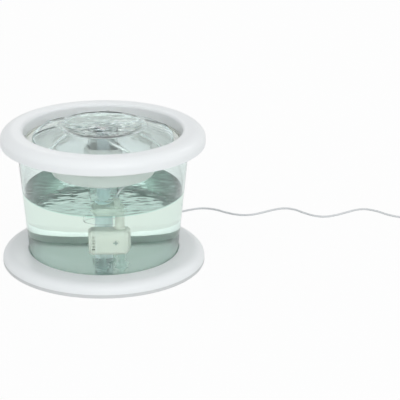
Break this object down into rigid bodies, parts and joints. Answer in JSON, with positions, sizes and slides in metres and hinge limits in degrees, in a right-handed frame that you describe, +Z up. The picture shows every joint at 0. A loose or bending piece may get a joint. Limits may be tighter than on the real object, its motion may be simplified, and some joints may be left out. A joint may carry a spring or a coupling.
{
  "type": "pet water fountain",
  "caption": "Round pet drinking fountain: clear tank on a flanged base ring, collar ring, domed top with a dish, filter tray, submersible pump and a thin lead with a plug-in adapter.",
  "frame": {"origin": "on the table under the tank's axis, at the bottom centre of the fountain's box", "axes": "+Z up along the tank's axis, -Y towards the front, +X to the right where the lead runs"},
  "size_m": [0.545, 0.2734, 0.1602],
  "materials": {
    "white_plastic": "satin",
    "clear_tank": "polished",
    "clear_plastic": "polished",
    "blue_plastic": "polished",
    "cream_plastic": "satin",
    "grey_plastic": "satin",
    "rubber": "matte",
    "clear_rubber": "satin",
    "core_steel": "matte",
    "copper_wire": "satin",
    "magnet": "satin",
    "ceramic": "polished",
    "foam": "matte",
    "filter_fleece": "matte",
    "lead_jacket": "satin",
    "pin_metal": "polished"
  },
  "bodies": {
    "root": {"base_ring": "white_plastic", "base_feet": "rubber", "tank": "clear_tank", "standpipe": "blue_plastic", "pump_housing": "cream_plastic", "end_cap": "cream_plastic", "stator_core": "core_steel", "stator_coils": "copper_wire", "volute_cover": "cream_plastic", "volute_seal": "rubber", "rotor_shaft": "ceramic", "shaft_bushes": "rubber", "suction_cups": "clear_rubber", "lead_boot": "cream_plastic", "power_cord": "lead_jacket", "cord_coil": "lead_jacket", "cord_tail": "lead_jacket", "cord_tie": "rubber", "adapter_body": "white_plastic", "adapter_face": "white_plastic", "adapter_pins": "pin_metal", "adapter_boot": "lead_jacket"},
    "collar": {"collar_ring": "white_plastic"},
    "tray": {"filter_tray": "clear_plastic", "drum_grille": "clear_plastic"},
    "filter": {"foam_pad": "foam", "carbon_pad": "filter_fleece"},
    "dome": {"dome": "clear_plastic", "stem": "clear_plastic"},
    "intake": {"intake_cover": "cream_plastic"},
    "rotor": {"impeller": "blue_plastic", "rotor_magnet": "magnet"},
    "dial": {"flow_dial": "grey_plastic"}
  },
  "joints": [
    {"name": "collar_lift", "type": "slide", "parent": "root", "child": "collar", "axis": [0, 0, 1], "range_m": [0, 0.09]},
    {"name": "tray_lift", "type": "slide", "parent": "collar", "child": "tray", "axis": [0, 0, 1], "range_m": [0, 0.06]},
    {"name": "dome_lift", "type": "slide", "parent": "tray", "child": "dome", "axis": [0, 0, 1], "range_m": [0, 0.1]},
    {"name": "filter_lift", "type": "slide", "parent": "tray", "child": "filter", "axis": [0, 0, 1], "range_m": [0, 0.05]},
    {"name": "intake_slide", "type": "slide", "parent": "root", "child": "intake", "axis": [-1, 0, 0], "range_m": [0, 0.02]},
    {"name": "rotor_spin", "type": "hinge", "parent": "root", "child": "rotor", "pos_m": [0.006, -0.023, 0.0395], "axis": [1, 0, 0], "continuous": true},
    {"name": "dial_turn", "type": "hinge", "parent": "root", "child": "dial", "pos_m": [0.012, -0.0365, 0.0405], "axis": [0, 1, 0], "range_deg": [-60, 60]}
  ],
  "couplings": [
    {"joint": "filter_lift", "follows": "dome_lift", "ratio": 0.5}
  ]
}
